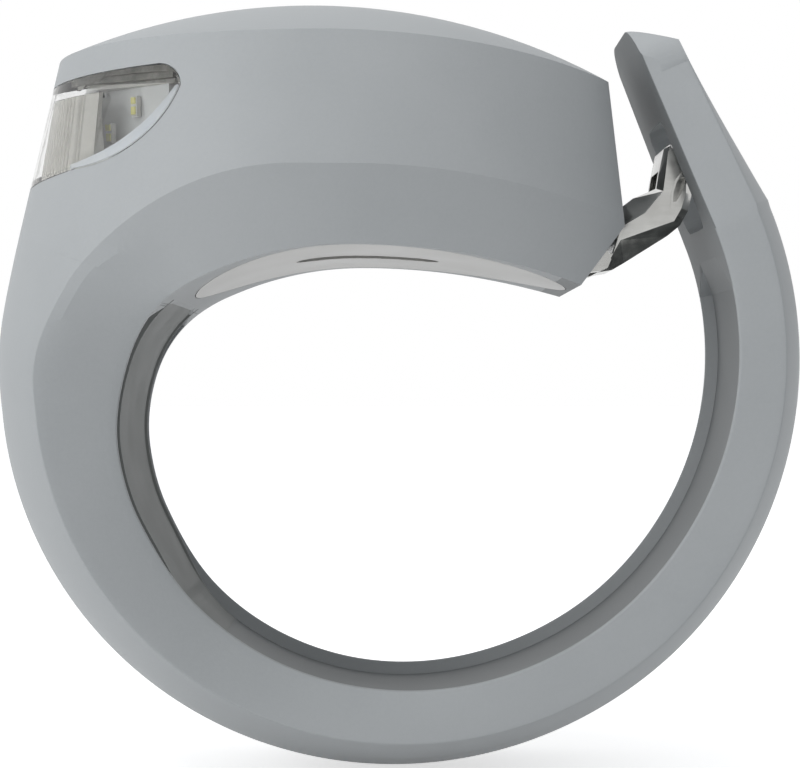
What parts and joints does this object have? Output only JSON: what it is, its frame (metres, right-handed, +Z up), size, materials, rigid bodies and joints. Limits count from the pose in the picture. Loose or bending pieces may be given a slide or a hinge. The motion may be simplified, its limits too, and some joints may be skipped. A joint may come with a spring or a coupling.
{
  "type": "bike light",
  "caption": "Small bicycle front light whose soft grey ring strap wraps a bar and hooks on a metal clasp.",
  "frame": {"origin": "middle of the strap's ring, where the axis of the bar passes", "axes": "+Y along the bar, the lamp faces -X, +Z up through the head"},
  "size_m": [0.0448, 0.027, 0.0428],
  "materials": {
    "grey_silicone": "matte, fine-grained",
    "dark_rubber": "matte",
    "clear_plastic": "clear, polished",
    "white_plastic": "bright moulded",
    "white_board": "white solder mask",
    "phosphor": "yellow phosphor under clear resin",
    "tinned_metal": "tinned",
    "dark_plastic": "fine matte",
    "green_board": "green solder mask",
    "black_chips": "moulded resin",
    "steel_screws": "zinc plated",
    "cell_steel": "nickel plated",
    "light_grey_plastic": "smooth satin",
    "chrome_metal": "polished"
  },
  "bodies": {
    "head": {"silicone_skin": "grey_silicone", "strap_pad": "dark_rubber", "lens": "clear_plastic", "reflector": "white_plastic", "led_board": "white_board", "leds": "phosphor", "light_pipe": "clear_plastic", "led_leads": "tinned_metal", "core_shell": "dark_plastic", "main_board": "green_board", "board_chips": "black_chips", "board_screws": "steel_screws", "tact_switch": "black_chips", "cell_lower": "cell_steel", "cell_upper": "cell_steel", "contact_plate": "tinned_metal", "contact_spring": "tinned_metal", "cover_seal": "dark_rubber", "base_cover": "light_grey_plastic", "clasp_bracket": "chrome_metal", "bracket_screws": "steel_screws", "clasp_pin": "chrome_metal"},
    "strap_lower": {"strap_lower": "grey_silicone"},
    "strap_side": {"strap_side": "grey_silicone"},
    "strap_end": {"strap_end": "grey_silicone"},
    "clasp": {"clasp": "chrome_metal"},
    "button": {"button_plunger": "white_plastic"}
  },
  "joints": [
    {"name": "strap_bend_low", "type": "hinge", "parent": "head", "child": "strap_lower", "pos_m": [-0.01093, 0, -0.01971], "axis": [0, 1, 0], "range_deg": [0, 22], "stiffness_Nm_per_rad": 0.03, "springref_deg": -8.59},
    {"name": "strap_bend_middle", "type": "hinge", "parent": "strap_lower", "child": "strap_side", "pos_m": [0.00734, 0, -0.01951], "axis": [0, 1, 0], "range_deg": [0, 22], "stiffness_Nm_per_rad": 0.03, "springref_deg": -8.59},
    {"name": "strap_bend_high", "type": "hinge", "parent": "strap_side", "child": "strap_end", "pos_m": [0.01911, 0, -0.00724], "axis": [0, 1, 0], "range_deg": [0, 22], "stiffness_Nm_per_rad": 0.03, "springref_deg": -8.59},
    {"name": "clasp_swing", "type": "hinge", "parent": "head", "child": "clasp", "pos_m": [0.0093, 0, 0.00675], "axis": [0, -1, 0], "range_deg": [0, 12]},
    {"name": "button_press", "type": "slide", "parent": "head", "child": "button", "axis": [0, 0, -1], "range_m": [0, 0.0003], "stiffness_N_per_m": 1500, "springref_m": -0.0002}
  ],
  "couplings": [
    {"joint": "strap_bend_middle", "follows": "strap_bend_low", "ratio": 1},
    {"joint": "strap_bend_high", "follows": "strap_bend_low", "ratio": 1}
  ]
}
